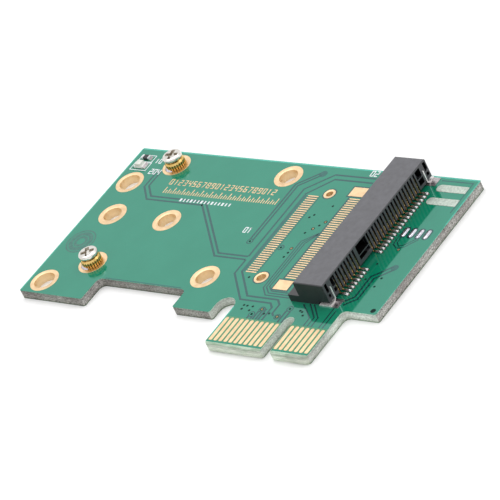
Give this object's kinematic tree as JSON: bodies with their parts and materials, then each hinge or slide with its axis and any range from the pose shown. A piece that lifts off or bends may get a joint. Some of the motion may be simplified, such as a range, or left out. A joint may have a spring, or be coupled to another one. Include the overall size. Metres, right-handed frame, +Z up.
{
  "type": "mini card riser",
  "caption": "Flat adapter card with a gold-fingered edge tab, a low black card socket, brass standoffs and plated mounting holes.",
  "frame": {"origin": "on the underside of the board, at the middle of its length and depth", "axes": "+X along the row of edge fingers, +Y from the edge tab to the back edge, +Z up out of the side with the socket"},
  "size_m": [0.0706, 0.0414, 0.0056],
  "materials": {
    "laminate": "glossy green mask over glass-fibre laminate",
    "gold": "thin matt gold over copper",
    "socket_black": "moulded, fine satin grain",
    "contact_gold": "stamped, bright gold plating",
    "solder": "smooth, slightly uneven",
    "clip_steel": "tinned sheet",
    "standoff_brass": "turned and knurled, bright",
    "screw_nickel": "nickel plated, bright",
    "lamp_white": "moulded",
    "lamp_resin": "cloudy resin",
    "resistor_black": "glazed"
  },
  "bodies": {
    "root": {"circuit_board": "laminate", "edge_fingers_top": "gold", "edge_fingers_bottom": "gold", "bracket_hole_front": "gold", "bracket_hole_back": "gold", "gauge_hole_left": "gold", "gauge_hole_right": "gold", "half_card_hole_front": "gold", "half_card_hole_back": "gold", "standoff_ring_front": "gold", "standoff_ring_back": "gold", "peg_hole_front": "gold", "peg_hole_back": "gold", "footprint_pads_left": "gold", "footprint_pads_right": "gold", "footprint_anchor_pads": "gold", "connector_housing": "socket_black", "upper_contacts": "contact_gold", "lower_contacts": "contact_gold", "upper_contact_solder": "solder", "lower_contact_solder": "solder", "hold_down_front": "clip_steel", "hold_down_back": "clip_steel", "hold_down_pads": "gold", "hold_down_solder": "solder", "standoff_front": "standoff_brass", "standoff_back": "standoff_brass", "standoff_solder_front": "solder", "standoff_solder_back": "solder", "screw_front": "screw_nickel", "screw_back": "screw_nickel", "lamp_base": "lamp_white", "lamp_lens": "lamp_resin", "lamp_pads": "gold", "lamp_solder": "solder", "resistor_body": "resistor_black", "resistor_caps": "solder", "resistor_pads": "gold", "resistor_solder": "solder", "long_tinned_pads": "solder", "short_tinned_pads": "solder"}
  },
  "joints": []
}
